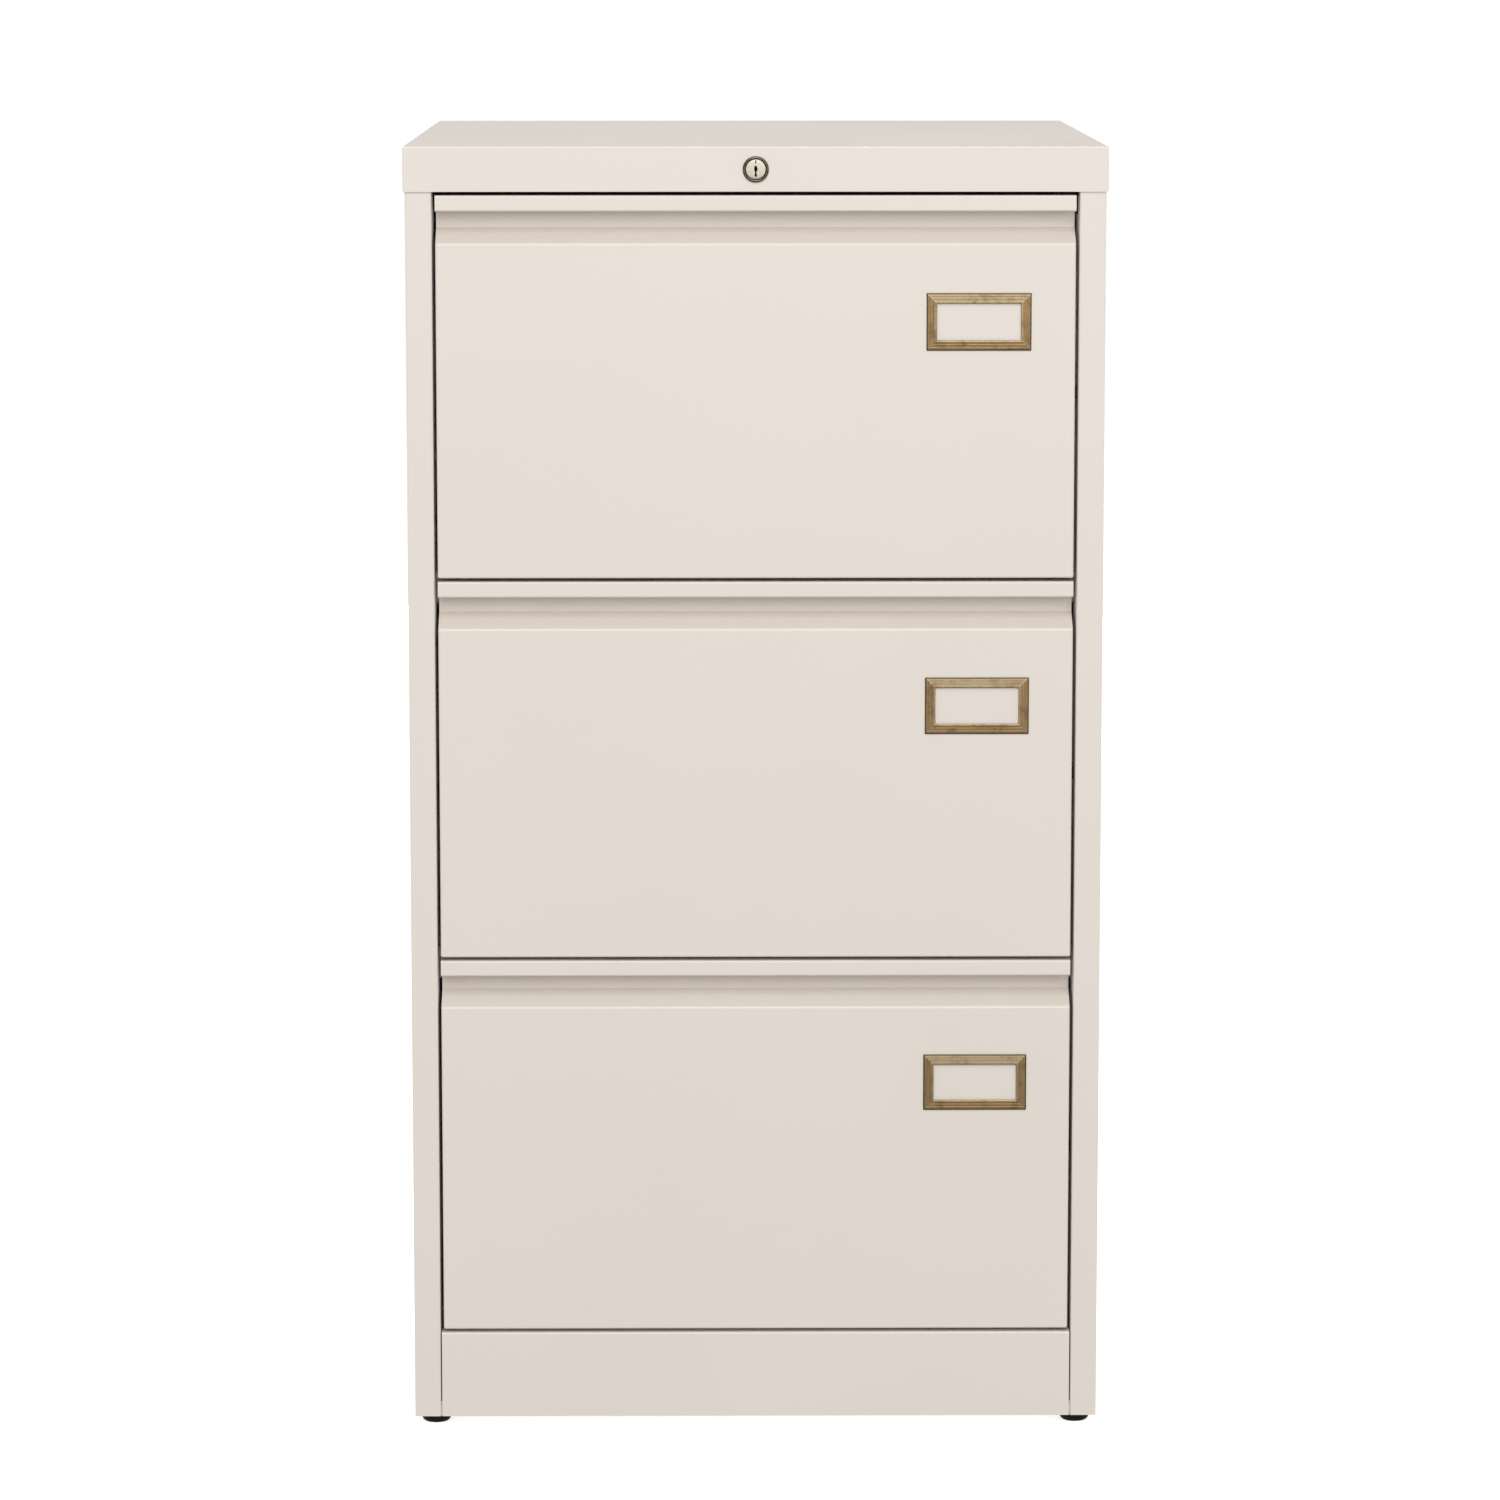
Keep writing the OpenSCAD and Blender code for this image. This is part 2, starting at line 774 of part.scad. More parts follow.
// The bar that runs from the cam to the crank
module lock_bar() {
    pin_x = cam_r * sin(swing);
    arm_x = crank_x + throw / 2;
    rise = cam_r * (1 - cos(swing)) / 2;
    color(zinc)
        difference() {
            box([-bar_tail, bar_y, bar_zc - bar_hh / 2],
                [arm_x + bar_nose, bar_y + bar_t, bar_zc + bar_hh / 2]);
            for (x = [pin_x, arm_x])
                box([x - pin_d / 2 - slot_play, bar_y - 1, bar_zc - rise - pin_d / 2 - loose],
                    [x + pin_d / 2 + slot_play, bar_y + bar_t + 1, bar_zc + rise + pin_d / 2 + loose]);
        }
}

// The crank: at rest its upright arm leans to the right and its other arm points down
module bell_crank()
    color(zinc)
        translate([crank_x, crank_y, crank_z])
            rotate([0, lean, 0])
                difference() {
                    union() {
                        rod_along_y(0, 0, boss_d, 0, crank_t);
                        box([-arm_w / 2, 0, 0], [arm_w / 2, crank_t, crank_r]);
                        box([0, 0, -arm_w / 2], [crank_r, crank_t, arm_w / 2]);
                        rod_along_y(0, crank_r, arm_w, 0, crank_t);
                        rod_along_y(crank_r, 0, arm_w, 0, crank_t);
                        rod_along_y(0, crank_r, pin_d, bar_y - pin_stand - crank_y, crank_t);
                        rod_along_y(crank_r, 0, pin_d, 0, rod_y + rod_t + pin_stand - crank_y);
                    }
                    rod_along_y(0, 0, pivot_d + 2 * run_fit, -1, crank_t + 1);
                }

// The plate that hangs from the top rail, and the pivot in it
module crank_bracket()
    color(zinc) {
        box([crank_x - bracket_w / 2, rail_y - bracket_t, crank_z - bracket_w / 2],
            [crank_x + bracket_w / 2, rail_y, lid_z + 15]);
        rod_along_y(crank_x, crank_z, pivot_d, crank_y - 0.6, rail_y - bracket_t);
        rod_along_y(crank_x, crank_z, pivot_d + 3, crank_y - 1.6, crank_y - 0.6);
        rod_along_y(crank_x, crank_z, pivot_d + 4, crank_y + crank_t + 0.4, rail_y - bracket_t);
    }

// The upright rod, with a slot for the crank's pin
module lock_rod() {
    pin_z = crank_z - throw / 2;
    spread = crank_r * (1 - cos(lean)) / 2;
    color(zinc)
        difference() {
            box([rod_x - rod_w / 2, rod_y, hook_z(3) - rod_end],
                [rod_x + rod_w / 2, rod_y + rod_t, pin_z + rod_end]);
            box([rod_x - spread - pin_d / 2 - loose, rod_y - 1, pin_z - pin_d / 2 - slot_play / 2],
                [rod_x + spread + pin_d / 2 + loose, rod_y + rod_t + 1, pin_z + pin_d / 2 + slot_play / 2]);
        }
}

// The hooks welded to the rod's edge, one for each drawer
module rod_hooks()
    color(zinc)
        for (n = drawer_ids)
            box([hook_x, rod_y, hook_z(n)], [rod_x - rod_w / 2, rod_y + rod_t, hook_z(n) + hook_h]);

// Guides round the bar, on the top rail, and round the rod, on the side panel
module linkage_guides()
    color(zinc) {
        for (x = bar_guide_xs)
            difference() {
                box([x, bar_y - 1, bar_zc - 10], [x + guide_t, rail_y, bar_zc + 10]);
                box([x - 1, bar_y - loose / 2, bar_zc - (bar_hh + loose) / 2],
                    [x + guide_t + 1, bar_y + bar_t + loose / 2, bar_zc + (bar_hh + loose) / 2]);
            }
        for (n = drawer_ids)
            difference() {
                box([open_x + 1.2, rod_y - 2, lug_z(n) + 50], [inner_x, rod_y + rod_t + 2, lug_z(n) + 50 + guide_t]);
                box([rod_x - (rod_w + loose) / 2, rod_y - loose / 2, lug_z(n) + 49],
                    [rod_x + (rod_w + loose) / 2, rod_y + rod_t + loose / 2, lug_z(n) + 51 + guide_t]);
            }
    }

module side_panel_right()
    color(paint)
        side_panel();

module side_panel_left()
    color(paint)
        mirror([1, 0, 0])
            side_panel();

lid();
side_panel_left();
side_panel_right();
back_panel();
base_pan();
plinth();
cross_rails();
slide_uprights();
foot_glides();
body_screws();
drawer_stops();
lock_barrel();
lock_nut();
lock_plug();
lock_cam();
lock_bar();
bell_crank();
lock_rod();
rod_hooks();
linkage_guides();
crank_bracket();
for (n = drawer_ids) {
    slide_outers(n);
    slide_middles(n);
    slide_inners(n);
    outer_cages(n);
    inner_cages(n);
    drawer_front(n);
    front_liner(n);
    drawer_tub(n);
    drawer_back(n);
    file_rails(n);
    label_holder(n);
    lock_lug(n);
    slide_screws(n);
}
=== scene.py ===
# %% [markdown]
# # A three-drawer steel filing cabinet
# The cabinet is folded from thin sheet steel and powder-coated in a warm cream. This lesson
# dresses its CAD frame: the big outside sheets are folded again with softer edges, the small
# brass, plated and plastic pieces get their real profiles, and every surface gets a finish
# made of shader nodes. First the frame is loaded, because every size below is read from it.

# %% Load the frame
import math

import bmesh
import bpy
from mathutils import Matrix, Vector


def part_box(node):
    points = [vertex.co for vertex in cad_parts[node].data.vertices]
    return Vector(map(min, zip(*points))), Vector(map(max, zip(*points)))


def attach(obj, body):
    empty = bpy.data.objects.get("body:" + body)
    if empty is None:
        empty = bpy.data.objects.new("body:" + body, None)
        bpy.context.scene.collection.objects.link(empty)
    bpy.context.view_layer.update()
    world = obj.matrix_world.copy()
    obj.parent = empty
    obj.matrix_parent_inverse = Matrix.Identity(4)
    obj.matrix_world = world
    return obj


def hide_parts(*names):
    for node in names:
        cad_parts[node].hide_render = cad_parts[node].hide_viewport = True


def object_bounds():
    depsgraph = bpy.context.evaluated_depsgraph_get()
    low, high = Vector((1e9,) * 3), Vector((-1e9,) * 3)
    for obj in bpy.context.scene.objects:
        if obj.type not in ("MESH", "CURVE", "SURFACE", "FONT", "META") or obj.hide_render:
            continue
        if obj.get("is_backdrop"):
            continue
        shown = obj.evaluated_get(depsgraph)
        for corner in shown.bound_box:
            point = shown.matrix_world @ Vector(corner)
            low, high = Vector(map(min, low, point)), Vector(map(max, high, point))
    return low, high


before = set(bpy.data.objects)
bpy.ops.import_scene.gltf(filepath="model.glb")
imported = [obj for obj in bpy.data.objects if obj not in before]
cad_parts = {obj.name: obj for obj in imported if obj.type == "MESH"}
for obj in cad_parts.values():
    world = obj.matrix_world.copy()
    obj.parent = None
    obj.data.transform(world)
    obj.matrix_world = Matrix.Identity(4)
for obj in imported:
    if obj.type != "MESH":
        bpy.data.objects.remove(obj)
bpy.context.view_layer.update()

# %% [markdown]
# ## Camera
# A long lens from a little above the lid keeps the cabinet's sides nearly upright and shows
# the lid's top as a thin band. The camera stands in front, turned and tilted a little.

# %% Camera
LENS, SENSOR = 134.1, 36.0
CAMERA_AT = (-0.0369, -4.6695, 1.1871)
TILT_DOWN, TURN_RIGHT, ROLL = 8.328, 0.425, 0.006

lens = bpy.data.cameras.new("camera")
lens.lens, lens.sensor_width = LENS, SENSOR
camera = bpy.data.objects.new("camera", lens)
bpy.context.scene.collection.objects.link(camera)
camera.matrix_world = (
    Matrix.Translation(CAMERA_AT)
    @ Matrix.Rotation(math.radians(-TURN_RIGHT), 4, "Z")
    @ Matrix.Rotation(math.radians(90 - TILT_DOWN), 4, "X")
    @ Matrix.Rotation(math.radians(-ROLL), 4, "Z")
)
bpy.context.scene.camera = camera
print("camera at", [round(v, 3) for v in camera.matrix_world.translation])

# %% [markdown]
# ## Writing shaders as Python
# A finish is a tree of nodes. `Wire` wraps one output socket and turns `+` and `*` into Math
# nodes, so a roughness can be written as `0.3 + cloud * 0.1`, with the number on either side.
# `Finish` holds one material's tree, and its `add` makes any other node: its settings are set
# first and its sockets are fed after.

# %% Shader helpers
class Wire:
    """One socket of a finish, with the operators that shader maths needs."""

    def __init__(self, finish, socket):
        self.finish, self.socket = finish, socket

    def maths(self, operation, first, second):
        sockets = {0: first, 1: second}
        return self.finish.add("ShaderNodeMath", {"operation": operation}, sockets)

    def __add__(self, other):
        return self.maths("ADD", self, other)

    def __radd__(self, other):
        return self.maths("ADD", other, self)

    def __mul__(self, other):
        return self.maths("MULTIPLY", self, other)

    def __rmul__(self, other):
        return self.maths("MULTIPLY", other, self)


class Finish:
    """One material and its node tree."""

    def __init__(self, name, **constants):
        self.material = bpy.data.materials.new(name)
        self.material.use_nodes = True
        self.tree = self.material.node_tree
        self.shader = self.tree.nodes["Principled BSDF"]
        for label, value in constants.items():
            self.shader.inputs[label.replace("_", " ")].default_value = value

    def feed(self, socket, value):
        if isinstance(value, Wire):
            self.tree.links.new(value.socket, socket)
        else:
            socket.default_value = value

    def add(self, kind, settings=None, sockets=None, out=0):
        node = self.tree.nodes.new(kind)
        for key, value in (settings or {}).items():
            if key == "stops":
                ramp = node.color_ramp
                while len(ramp.elements) < len(value):
                    ramp.elements.new(1.0)
                for stop, (place, shade) in zip(ramp.elements, value):
                    stop.position, stop.color = place, shade
            else:
                setattr(node, key, value)
        for key, value in (sockets or {}).items():
            self.feed(node.inputs[key], value)
        return Wire(self, node.outputs[out])

    def place(self, stretch=(1, 1, 1)):
        """Where a point lies on the piece, in metres, stretched along its axes."""
        here = self.add("ShaderNodeTexCoord", out="Object")
        return self.add("ShaderNodeVectorMath", {"operation": "MULTIPLY"}, {0: here, 1: stretch})

    def noise(self, scale, stretch=(1, 1, 1), detail=2.0, roughness=0.5):
        """Soft noise from 0 to 1, with that many waves to the metre."""
        sockets = {"Vector": self.place(stretch), "Scale": scale, "Detail": detail, "Roughness": roughness}
        return self.add("ShaderNodeTexNoise", None, sockets)

    def ramp(self, value, stops):
        return self.add("ShaderNodeValToRGB", {"stops": stops}, {"Fac": value})

    def blend(self, share, first, second):
        """A colour between two others."""
        return self.add("ShaderNodeMix", {"data_type": "RGBA"}, {0: share, 6: first, 7: second}, out=2)

    def relief(self, height, distance):
        """Bumps of that height in metres."""
        normal = self.add("ShaderNodeBump", None, {"Height": height, "Distance": distance, "Strength": 1.0})
        self.wear("Normal", normal)

    def wear(self, label, value):
        self.feed(self.shader.inputs[label], value)


def grey(level):
    return (level, level, level, 1.0)


print("shader helpers ready")

# %% [markdown]
# ## Powder coat
# Powder is baked onto the steel, so it isn't quite flat: close up it has the fine dimples
# called orange peel, about a millimetre across, over a broad, very faint waviness of the
# sheet. Two noises at those two scales make the bumps, and a third shifts the cream a little.

# %% Powder coat
CREAM_LIGHT = (0.800, 0.732, 0.665, 1.0)
CREAM_DEEP = (0.770, 0.701, 0.634, 1.0)
PEEL_WAVES, SWELL_WAVES = 620.0, 16.0
PEEL_HEIGHT, SWELL_SHARE = 0.000012, 6.0
CLOUD_WAVES, GRAIN_WAVES = 5.5, 900.0


def powder_coat(name, light, deep):
    """Baked powder between two shades of one colour."""
    coat = Finish(name, Specular_IOR_Level=0.42)
    cloud = coat.noise(CLOUD_WAVES, detail=3.0)
    grain = coat.noise(GRAIN_WAVES, detail=1.0)
    shade = cloud * 0.75 + grain * 0.25
    coat.wear("Base Color", coat.blend(shade, deep, light))
    coat.wear("Roughness", 0.29 + cloud * 0.10 + grain * 0.06)
    peel = coat.noise(PEEL_WAVES, detail=2.0)
    swell = coat.noise(SWELL_WAVES, detail=1.0)
    coat.relief(peel + swell * SWELL_SHARE, PEEL_HEIGHT)
    return coat.material


cream = powder_coat("cream_powder_coat", CREAM_LIGHT, CREAM_DEEP)
print("made", cream.name)

# %% [markdown]
# ## Bright metals
# The slides and rails are zinc-plated: bright, slightly cloudy steel with fine lines from
# rolling. The lock's linkage gets a near-black copy of the plate, which is painted shade, so
# nothing glints through the gap under the lid. The label holders are aged brass, brushed along
# each bar; each bar has its own copy with painted light and shade, the lip and the mitres a
# painted highlight, and the outer edge and the faces behind the lip painted shade with patina,
# nearly brown. The lock's rim is dark polished plate, and its face is satin nickel turned on a
# lathe. All are fully metallic, so noise in the colour, the roughness and the relief is what
# tells them apart.

# %% Zinc plate
# Noise that changes only this much along one axis draws long lines that way
ALONG = 0.03
ALONG_X, ALONG_Y, ALONG_Z = (ALONG, 1.0, 1.0), (1.0, ALONG, 1.0), (1.0, 1.0, ALONG)
EVENLY = (1.0, 1.0, 1.0)
ROLLED_WAVES, SPANGLE_WAVES, PLATE_HEIGHT = 240.0, 38.0, 0.000012


def zinc_plate(name, tone, rough):
    """Plated steel in a grey tone, a little cooler or warmer from crystal to crystal."""
    plate = Finish(name, Metallic=1.0)
    rolled = plate.noise(ROLLED_WAVES, stretch=ALONG_Y, detail=3.0)
    cloud = plate.noise(SPANGLE_WAVES, detail=4.0, roughness=0.62)
    cool = (tone[0] * 0.94, tone[1] * 0.97, tone[2] * 1.02, 1.0)
    warm = (tone[0], tone[1] * 0.98, tone[2] * 0.93, 1.0)
    plate.wear("Base Color", plate.blend(cloud, cool, warm))
    plate.wear("Roughness", rough + cloud * 0.14 + rolled * 0.10)
    plate.relief(rolled + cloud * 0.5, PLATE_HEIGHT)
    return plate.material


zinc = zinc_plate("zinc_plate", (0.66, 0.67, 0.68), 0.24)
# The lock's linkage gets a near-black copy of the plate: painted shade, so the gap under the lid stays dark
zinc_painted_shade = zinc_plate("zinc_plate_painted_shade", (0.035, 0.034, 0.033), 0.42)
print("made", zinc.name, zinc_painted_shade.name)

# %% Aged brass
BRASS_DEEP, BRASS_LIGHT = (0.190, 0.142, 0.080), (0.330, 0.262, 0.158)
BRASS_STAIN = (0.13, 0.085, 0.04, 1.0)
AS_IT_IS, WARMER = (1.0, 1.0, 1.0), (1.12, 0.96, 0.78)
BRUSH_WAVES, PATINA_WAVES, BRUSH_HEIGHT = 1500.0, 130.0, 0.000020
STAIN_FROM, STAIN_FULL, STAIN_SHARE = 0.50, 0.66, 0.45


def brushed_brass(name, stretch, painted_gain=1.0, tint=AS_IT_IS):
    """Brass brushed along one axis; the gain and the tint paint light and shade onto this copy, as
    brightness and warmth.
    """
    brass = Finish(name, Metallic=1.0)
    lines = brass.noise(BRUSH_WAVES, stretch=stretch, detail=3.0, roughness=0.6)
    patina = brass.noise(PATINA_WAVES, detail=4.0, roughness=0.6)
    deep = (*(painted_gain * c * t for c, t in zip(BRASS_DEEP, tint)), 1.0)
    light = (*(painted_gain * c * t for c, t in zip(BRASS_LIGHT, tint)), 1.0)
    tarnish = brass.ramp(patina, [(STAIN_FROM, grey(0.0)), (STAIN_FULL, grey(1.0))])
    brushed = brass.blend(lines, deep, light)
    brass.wear("Base Color", brass.blend(tarnish * STAIN_SHARE, brushed, BRASS_STAIN))
    brass.wear("Roughness", 0.34 + lines * 0.12 + patina * 0.08)
    brass.relief(lines + patina * 0.4, BRUSH_HEIGHT)
    return brass.material


# Lit and shaded copies of one brass, one for each bar: painted light and shade
brass_across_shaded = brushed_brass("brass_across_shaded", ALONG_X, 0.90)
brass_low_lit = brushed_brass("brass_across_low_lit", ALONG_X, 1.45, WARMER)
brass_upright_lit = brushed_brass("brass_upright_lit", ALONG_Z, 1.18, WARMER)
# Painted shade with patina, for the outer edge and the faces behind the lip
brass_patina_and_shade = brushed_brass("brass_patina_and_painted_shade", EVENLY, 0.35)
# Painted highlight for the lip and the mitres
brass_painted_highlight = brushed_brass("brass_with_painted_highlight", EVENLY, 1.5)
print("made", brass_across_shaded.name, brass_low_lit.name, brass_upright_lit.name, brass_patina_and_shade.name, brass_painted_highlight.name)

# %% Turned lock metals
LATHE_HEIGHT = 0.000006


def turned_metal(name, tone, centre, rough, line_scale):
    """Metal faced on a lathe: fine rings round an axis that runs along Y."""
    metal = Finish(name, Metallic=1.0)
    here = metal.add("ShaderNodeTexCoord", out="Object")
    off = metal.add("ShaderNodeVectorMath", {"operation": "SUBTRACT"}, {0: here, 1: centre})
    flat = metal.add("ShaderNodeVectorMath", {"operation": "MULTIPLY"}, {0: off, 1: (1, 0, 1)})
    radius = metal.add("ShaderNodeVectorMath", {"operation": "LENGTH"}, {0: flat}, out="Value")
    along = metal.add("ShaderNodeCombineXYZ", None, {"X": radius})
    rings = metal.add("ShaderNodeTexNoise", None, {"Vector": along, "Scale": line_scale, "Detail": 3.0})
    cloud = metal.noise(300.0, detail=2.0)
    deep = (tone[0] * 0.8, tone[1] * 0.79, tone[2] * 0.76, 1.0)
    metal.wear("Base Color", metal.blend(rings * 0.6 + cloud * 0.4, deep, (*tone, 1.0)))
    metal.wear("Roughness", rough + rings * 0.16)
    metal.relief(rings, LATHE_HEIGHT)
    return metal.material


lock_low, lock_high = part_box("lock_barrel")
lock_x = (lock_low.x + lock_high.x) / 2
lock_z = (lock_low.z + lock_high.z) / 2
LOCK_AXIS = (lock_x, 0.0, lock_z)
dark_plate = turned_metal("dark_polished_plate", (0.13, 0.112, 0.088), LOCK_AXIS, 0.16, 900.0)
nickel = turned_metal("satin_nickel", (0.47, 0.42, 0.355), LOCK_AXIS, 0.30, 2600.0)
print("made", dark_plate.name, nickel.name)

# %% [markdown]
# ## Plastic, rubber and the dark of a hole
# The glides are moulded nylon with a fine spark-eroded grain. The stops behind the drawers
# are matt rubber. A keyhole is only dark because little light comes back out of it; its walls
# get painted shade: a nearly black, rough finish.

# %% Plastic and rubber finishes
def moulded(name, tone, rough, grain_scale, grain_height):
    """Plastic or rubber with the fine grain of its mould."""
    plastic = Finish(name, Specular_IOR_Level=0.22)
    grain = plastic.noise(grain_scale, detail=3.0, roughness=0.6)
    cloud = plastic.noise(60.0, detail=2.0)
    lighter = tuple(min(1.0, c * 1.7 + 0.006) for c in tone) + (1.0,)
    plastic.wear("Base Color", plastic.blend(grain * 0.5 + cloud * 0.5, (*tone, 1.0), lighter))
    plastic.wear("Roughness", rough + cloud * 0.12)
    plastic.relief(grain, grain_height)
    return plastic.material


black_nylon = moulded("black_nylon", (0.003, 0.003, 0.003), 0.38, 1400.0, 0.000020)
black_rubber = moulded("black_rubber", (0.016, 0.016, 0.017), 0.66, 2200.0, 0.000030)
# Keyhole walls: painted shade, nearly black
keyhole_painted_shade = moulded("keyhole_walls_painted_shade", (0.004, 0.004, 0.004), 0.8, 900.0, 0.000010)
print("made", black_nylon.name, black_rubber.name, keyhole_painted_shade.name)

# %% [markdown]
# ## CAD nodes that stay
# Folded posts, tubs, slides and rails are already right, so they stay as they are. A cut steel
# edge is never razor sharp, though: each node's loose faces are welded, flat areas are merged
# back into single faces, and a tiny bevel with weighted normals breaks every sharp edge.

# %% Soften the CAD nodes
EDGE_BREAK = 0.00012
WELD_WITHIN = 1e-6
FLAT_ANGLE, SHARP_ANGLE, CRISP_ANGLE = math.radians(0.5), math.radians(35), math.radians(38)


def modifier(piece, kind, name, **settings):
    """Adds a modifier and sets it up in one go."""
    made = piece.modifiers.new(name, kind)
    for key, value in settings.items():
        setattr(made, key, value)


def shade_smooth(mesh):
    mesh.polygons.foreach_set("use_smooth", [True] * len(mesh.polygons))
    mesh.update()


def soften(piece):
    """Breaks a CAD node's edges with modifiers; its points and faces stay as they were packed."""
    custom = piece.data.attributes.get("custom_normal")
    if custom is not None:
        piece.data.attributes.remove(custom)
    shade_smooth(piece.data)
    modifier(piece, "WELD", "weld", merge_threshold=WELD_WITHIN)
    modifier(piece, "DECIMATE", "merge_flats", decimate_type="DISSOLVE", angle_limit=FLAT_ANGLE)
    modifier(piece, "BEVEL", "edge_break", width=EDGE_BREAK, segments=2, limit_method="ANGLE",
             angle_limit=SHARP_ANGLE)
    modifier(piece, "WEIGHTED_NORMAL", "flat_normals", weight=80)


def crisp_edges(piece):
    """Keeps sharp edges crisp, and weights the other normals by face size."""
    piece.data.set_sharp_from_angle(angle=CRISP_ANGLE)
    modifier(piece, "WEIGHTED_NORMAL", "flat_normals", weight=50, keep_sharp=True)


def wear_finish(piece, *finishes):
    if len(piece.data.materials):
        piece.data.materials.clear()
    for finish in finishes:
        piece.data.materials.append(finish)


# %% Coat and plate them
DRAWERS = (1, 2, 3)
painted = ["side_panel_left", "side_panel_right", "back_panel", "base_pan", "plinth", "cross_rails"]
plated = ["slide_uprights", "lock_nut", "lock_cam"]
# The lock's linkage wears the plate with painted shade
shade_painted_parts = ["lock_bar", "bell_crank", "lock_rod", "rod_hooks", "linkage_guides", "crank_bracket"]
for n in DRAWERS:
    painted += [f"{part}_{n}" for part in ("front_liner", "drawer_tub", "drawer_back")]
    plated += [f"{part}_{n}" for part in ("slide_outers", "slide_middles", "slide_inners",
               "outer_cages", "inner_cages", "file_rails", "lock_lug")]
for names, finish in ((painted, cream), (plated, zinc), (shade_painted_parts, zinc_painted_shade)):
    for name in names:
        soften(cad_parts[name])
        wear_finish(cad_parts[name], finish)
print("softened", len(painted), "painted and", len(plated) + len(shade_painted_parts), "plated nodes")

# %% [markdown]
# ## Folding sheet steel
# A press brake folds a flat blank along lines. The same can be done here: a cage of flat
# faces is drawn at the middle of the sheet, one Bevel rounds its fold lines, Solidify gives it
# the steel's thickness, and a second, tiny Bevel breaks the cut edges.

# %% Sheet helper
STEEL = 0.0008
SHEET_HALF = STEEL / 2
FOLD_R, FOLD_STEPS = 0.0012, 5
FOLD_ANGLE, CUT_ANGLE = math.radians(12), math.radians(50)


def finish_mesh(work, name):
    """Turns a bmesh into a mesh whose faces all look outward."""
    bmesh.ops.recalc_face_normals(work, faces=work.faces)
    mesh = bpy.data.meshes.new(name)
    work.to_mesh(mesh)
    work.free()
    return mesh


def new_piece(name, mesh, body, slot, node, *finishes):
    """A visible piece that rides on a body and stands in for one CAD node."""
    piece = bpy.data.objects.new(name, mesh)
    bpy.context.scene.collection.objects.link(piece)
    wear_finish(piece, *finishes)
    shade_smooth(mesh)
    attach(piece, body)
    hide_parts(node)
    return piece


def cage_mesh(name, faces):
    """A mesh from faces given as corner points; corners that agree to a micron are one corner."""
    work = bmesh.new()
    corners = {}
    for face in faces:
        ring = []
        for point in face:
            key = tuple(round(c * 1e6) for c in point)
            if key not in corners:
                corners[key] = work.verts.new(point)
            ring.append(corners[key])
        work.faces.new(ring)
    return finish_mesh(work, name)


def fold_sheet(piece, radius=FOLD_R):
    """Gives a flat cage its folds, its thickness and its broken edges."""
    modifier(piece, "BEVEL", "folds", width=radius, segments=FOLD_STEPS, limit_method="ANGLE",
             angle_limit=FOLD_ANGLE)
    modifier(piece, "SOLIDIFY", "sheet", thickness=STEEL, offset=0.0, use_even_offset=True)
    modifier(piece, "BEVEL", "cut_edges", width=EDGE_BREAK, segments=2, limit_method="ANGLE",
             angle_limit=CUT_ANGLE)
    modifier(piece, "WEIGHTED_NORMAL", "flat_normals", weight=80)


print("sheet helpers ready")

# %% [markdown]
# ## Lid
# The lid is a shallow upside-down pan with welded, ground corners. Its front apron has a short
# lip turned in under it, which stops short of the posts. All its edges are softly rounded.
# The apron is drawn in two halves, because a face can't have a hole: each half goes round its
# side of the hole for the lock.

# %% Lid
# Metres, like every size outside the small turned and pressed parts
LIP_IN = 0.0096
LIP_SHORT = 0.003
NOTCH = 0.0006
LID_ROUND = 0.0018
HOLE_R, HOLE_STEPS = 0.009, 24

lid_low, lid_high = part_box("lid")
end_x = lid_high.x - SHEET_HALF
front_y, back_y = lid_low.y + SHEET_HALF, lid_high.y - SHEET_HALF
z_top, z_rim, z_lip = lid_high.z - SHEET_HALF, lid_low.z, lid_low.z + SHEET_HALF
lip_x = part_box("side_panel_right")[0].x - LIP_SHORT


def apron(side):
    """Half of the apron, from the middle out to one side, with half of the lock's hole."""
    outline = []
    for step in range(HOLE_STEPS + 1):
        angle = math.pi * step / HOLE_STEPS
        outline.append((side * HOLE_R * math.sin(angle), lock_z + HOLE_R * math.cos(angle)))
    outline += [(0, z_lip), (side * lip_x, z_lip), (side * (lip_x + NOTCH), z_rim),
                (side * end_x, z_rim), (side * end_x, z_top), (0, z_top)]
    return [(x, front_y, z) for x, z in outline]


lip_y = front_y + LIP_IN
lid_faces = [
    [(-end_x, front_y, z_top), (0, front_y, z_top), (end_x, front_y, z_top), (end_x, back_y, z_top),
     (-end_x, back_y, z_top)],
    apron(-1),
    apron(1),
    [(-end_x, back_y, z_top), (end_x, back_y, z_top), (end_x, back_y, z_rim), (-end_x, back_y, z_rim)],
    [(-end_x, front_y, z_top), (-end_x, back_y, z_top), (-end_x, back_y, z_rim), (-end_x, front_y, z_rim)],
    [(end_x, front_y, z_top), (end_x, back_y, z_top), (end_x, back_y, z_rim), (end_x, front_y, z_rim)],
    [(-lip_x, front_y, z_lip), (0, front_y, z_lip), (lip_x, front_y, z_lip), (lip_x, lip_y, z_lip),
     (-lip_x, lip_y, z_lip)],
]
lid = new_piece("lid_folded", cage_mesh("lid_folded", lid_faces), "cabinet", "paint", "lid", cream)
fold_sheet(lid, LID_ROUND)
print("lid", round(2 * end_x, 4), "wide")

# %% [markdown]
# ## Drawer fronts
# Each front is one long folded section: a lower flange, the flat panel, a ramp back into the
# grip recess, the recess's upright back, the top, and the bar with its hem turned in so that
# fingers meet no cut edge. Flanges close the panel's ends. The same profile serves all three.

# %% Drawer fronts
BAR_H, HEM_W, HEM_UP = 0.0126, 0.0028, 0.007
RECESS_D, RECESS_BACK, RAMP_H = 0.020, 0.0134, 0.0118
END_CORNERS = 4


